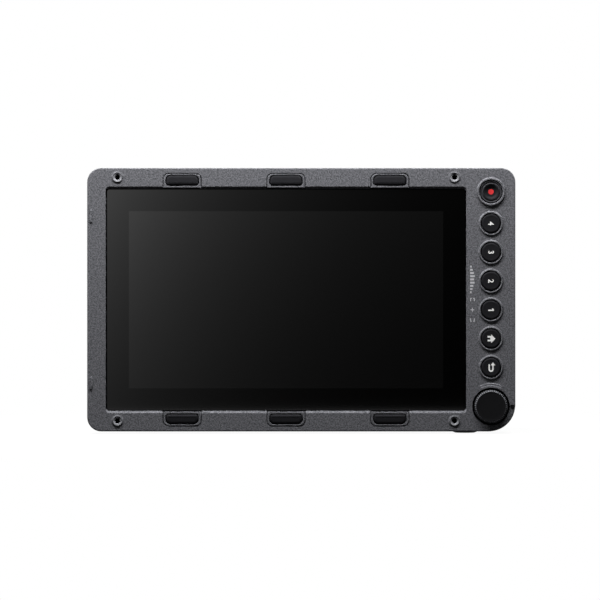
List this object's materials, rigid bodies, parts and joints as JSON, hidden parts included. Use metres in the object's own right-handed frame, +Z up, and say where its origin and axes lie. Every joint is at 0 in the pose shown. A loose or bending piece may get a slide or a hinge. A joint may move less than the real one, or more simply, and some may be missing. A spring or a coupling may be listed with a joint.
{
  "type": "camera field monitor",
  "caption": "Flat camera field monitor with a framed glass screen, a column of press buttons, a knurled push jog wheel, rubber bumpers, a finned rear housing and mounting threads.",
  "frame": {"origin": "mouth of the mounting thread in the middle of the bottom face", "axes": "+X to the right as the viewer sees the screen, along the width; +Y from the screen to the back; +Z up"},
  "size_m": [0.212, 0.0356, 0.1318],
  "materials": {
    "coated_metal": "cast aluminium with a fine anthracite structured powder coat",
    "black_rubber": "matte moulded rubber",
    "screen_glass": "dark bonded cover glass",
    "panel_black": "dark display panel",
    "diffuser_white": "white diffuser stack",
    "sheet_steel": "folded sheet steel",
    "black_abs": "fine textured moulded plastic",
    "black_anodised": "black anodised, knurled rim",
    "bright_steel": "plain turned steel",
    "black_steel": "black oxide",
    "nickel_plate": "nickel plated",
    "board_laminate": "green solder mask",
    "switch_plastic": "moulded plastic",
    "white_insulator": "white fluoropolymer",
    "gold_contact": "gold plated",
    "chip_resin": "moulded resin",
    "pad_silicone": "soft silicone"
  },
  "bodies": {
    "monitor_body": {"backlight_unit": "diffuser_white", "board_screws": "bright_steel", "board_standoffs": "bright_steel", "bottom_mount_insert": "bright_steel", "bumper_carrier_bottom_left": "coated_metal", "bumper_carrier_bottom_middle": "coated_metal", "bumper_carrier_bottom_right": "coated_metal", "bumper_carrier_top_left": "coated_metal", "bumper_carrier_top_middle": "coated_metal", "bumper_carrier_top_right": "coated_metal", "button_board": "board_laminate", "button_board_screws": "bright_steel", "button_switches": "switch_plastic", "control_insert": "switch_plastic", "control_nut": "nickel_plate", "control_socket": "nickel_plate", "cover_glass": "screen_glass", "encoder_board": "board_laminate", "encoder_body": "switch_plastic", "encoder_nut": "bright_steel", "encoder_washer": "bright_steel", "front_bezel": "coated_metal", "glass_gasket": "black_rubber", "housing_gasket": "black_rubber", "housing_screws": "black_steel", "jack_contacts": "gold_contact", "jack_insulators": "white_insulator", "jack_nuts": "nickel_plate", "lcd_panel": "panel_black", "main_board": "board_laminate", "memory_chips": "chip_resin", "panel_frame": "sheet_steel", "panel_screws": "bright_steel", "power_board": "board_laminate", "power_board_screws": "bright_steel", "power_switch": "switch_plastic", "processor": "chip_resin", "rear_housing": "coated_metal", "rubber_bumper_bottom_left": "black_rubber", "rubber_bumper_bottom_middle": "black_rubber", "rubber_bumper_bottom_right": "black_rubber", "rubber_bumper_top_left": "black_rubber", "rubber_bumper_top_middle": "black_rubber", "rubber_bumper_top_right": "black_rubber", "sdi_in_jack": "nickel_plate", "sdi_out_jack": "nickel_plate", "thermal_pad": "pad_silicone", "top_mount_insert": "bright_steel"},
    "rec_button": {"rec_button": "black_abs"},
    "user_button_4": {"user_button_4": "black_abs"},
    "user_button_3": {"user_button_3": "black_abs"},
    "user_button_2": {"user_button_2": "black_abs"},
    "user_button_1": {"user_button_1": "black_abs"},
    "home_button": {"home_button": "black_abs"},
    "back_button": {"back_button": "black_abs"},
    "jog_push": {"encoder_plunger": "switch_plastic"},
    "jog_turn": {"jog_wheel": "black_anodised", "encoder_shaft": "bright_steel"},
    "power_key": {"power_button": "black_abs"}
  },
  "joints": [
    {"name": "rec_press", "type": "slide", "parent": "monitor_body", "child": "rec_button", "axis": [0, 1, 0], "range_m": [0, 0.0008], "stiffness_N_per_m": 1000, "springref_m": -0.001},
    {"name": "user_4_press", "type": "slide", "parent": "monitor_body", "child": "user_button_4", "axis": [0, 1, 0], "range_m": [0, 0.0008], "stiffness_N_per_m": 1000, "springref_m": -0.001},
    {"name": "user_3_press", "type": "slide", "parent": "monitor_body", "child": "user_button_3", "axis": [0, 1, 0], "range_m": [0, 0.0008], "stiffness_N_per_m": 1000, "springref_m": -0.001},
    {"name": "user_2_press", "type": "slide", "parent": "monitor_body", "child": "user_button_2", "axis": [0, 1, 0], "range_m": [0, 0.0008], "stiffness_N_per_m": 1000, "springref_m": -0.001},
    {"name": "user_1_press", "type": "slide", "parent": "monitor_body", "child": "user_button_1", "axis": [0, 1, 0], "range_m": [0, 0.0008], "stiffness_N_per_m": 1000, "springref_m": -0.001},
    {"name": "home_press", "type": "slide", "parent": "monitor_body", "child": "home_button", "axis": [0, 1, 0], "range_m": [0, 0.0008], "stiffness_N_per_m": 1000, "springref_m": -0.001},
    {"name": "back_press", "type": "slide", "parent": "monitor_body", "child": "back_button", "axis": [0, 1, 0], "range_m": [0, 0.0008], "stiffness_N_per_m": 1000, "springref_m": -0.001},
    {"name": "jog_press", "type": "slide", "parent": "monitor_body", "child": "jog_push", "axis": [0, 1, 0], "range_m": [0, 0.0005], "stiffness_N_per_m": 2000, "springref_m": -0.001},
    {"name": "jog_spin", "type": "hinge", "parent": "jog_push", "child": "jog_turn", "pos_m": [0.0939, 0, 0.0124], "axis": [0, 1, 0], "continuous": true},
    {"name": "power_press", "type": "slide", "parent": "monitor_body", "child": "power_key", "axis": [0, 0, 1], "range_m": [0, 0.0008], "stiffness_N_per_m": 1000, "springref_m": -0.001}
  ]
}
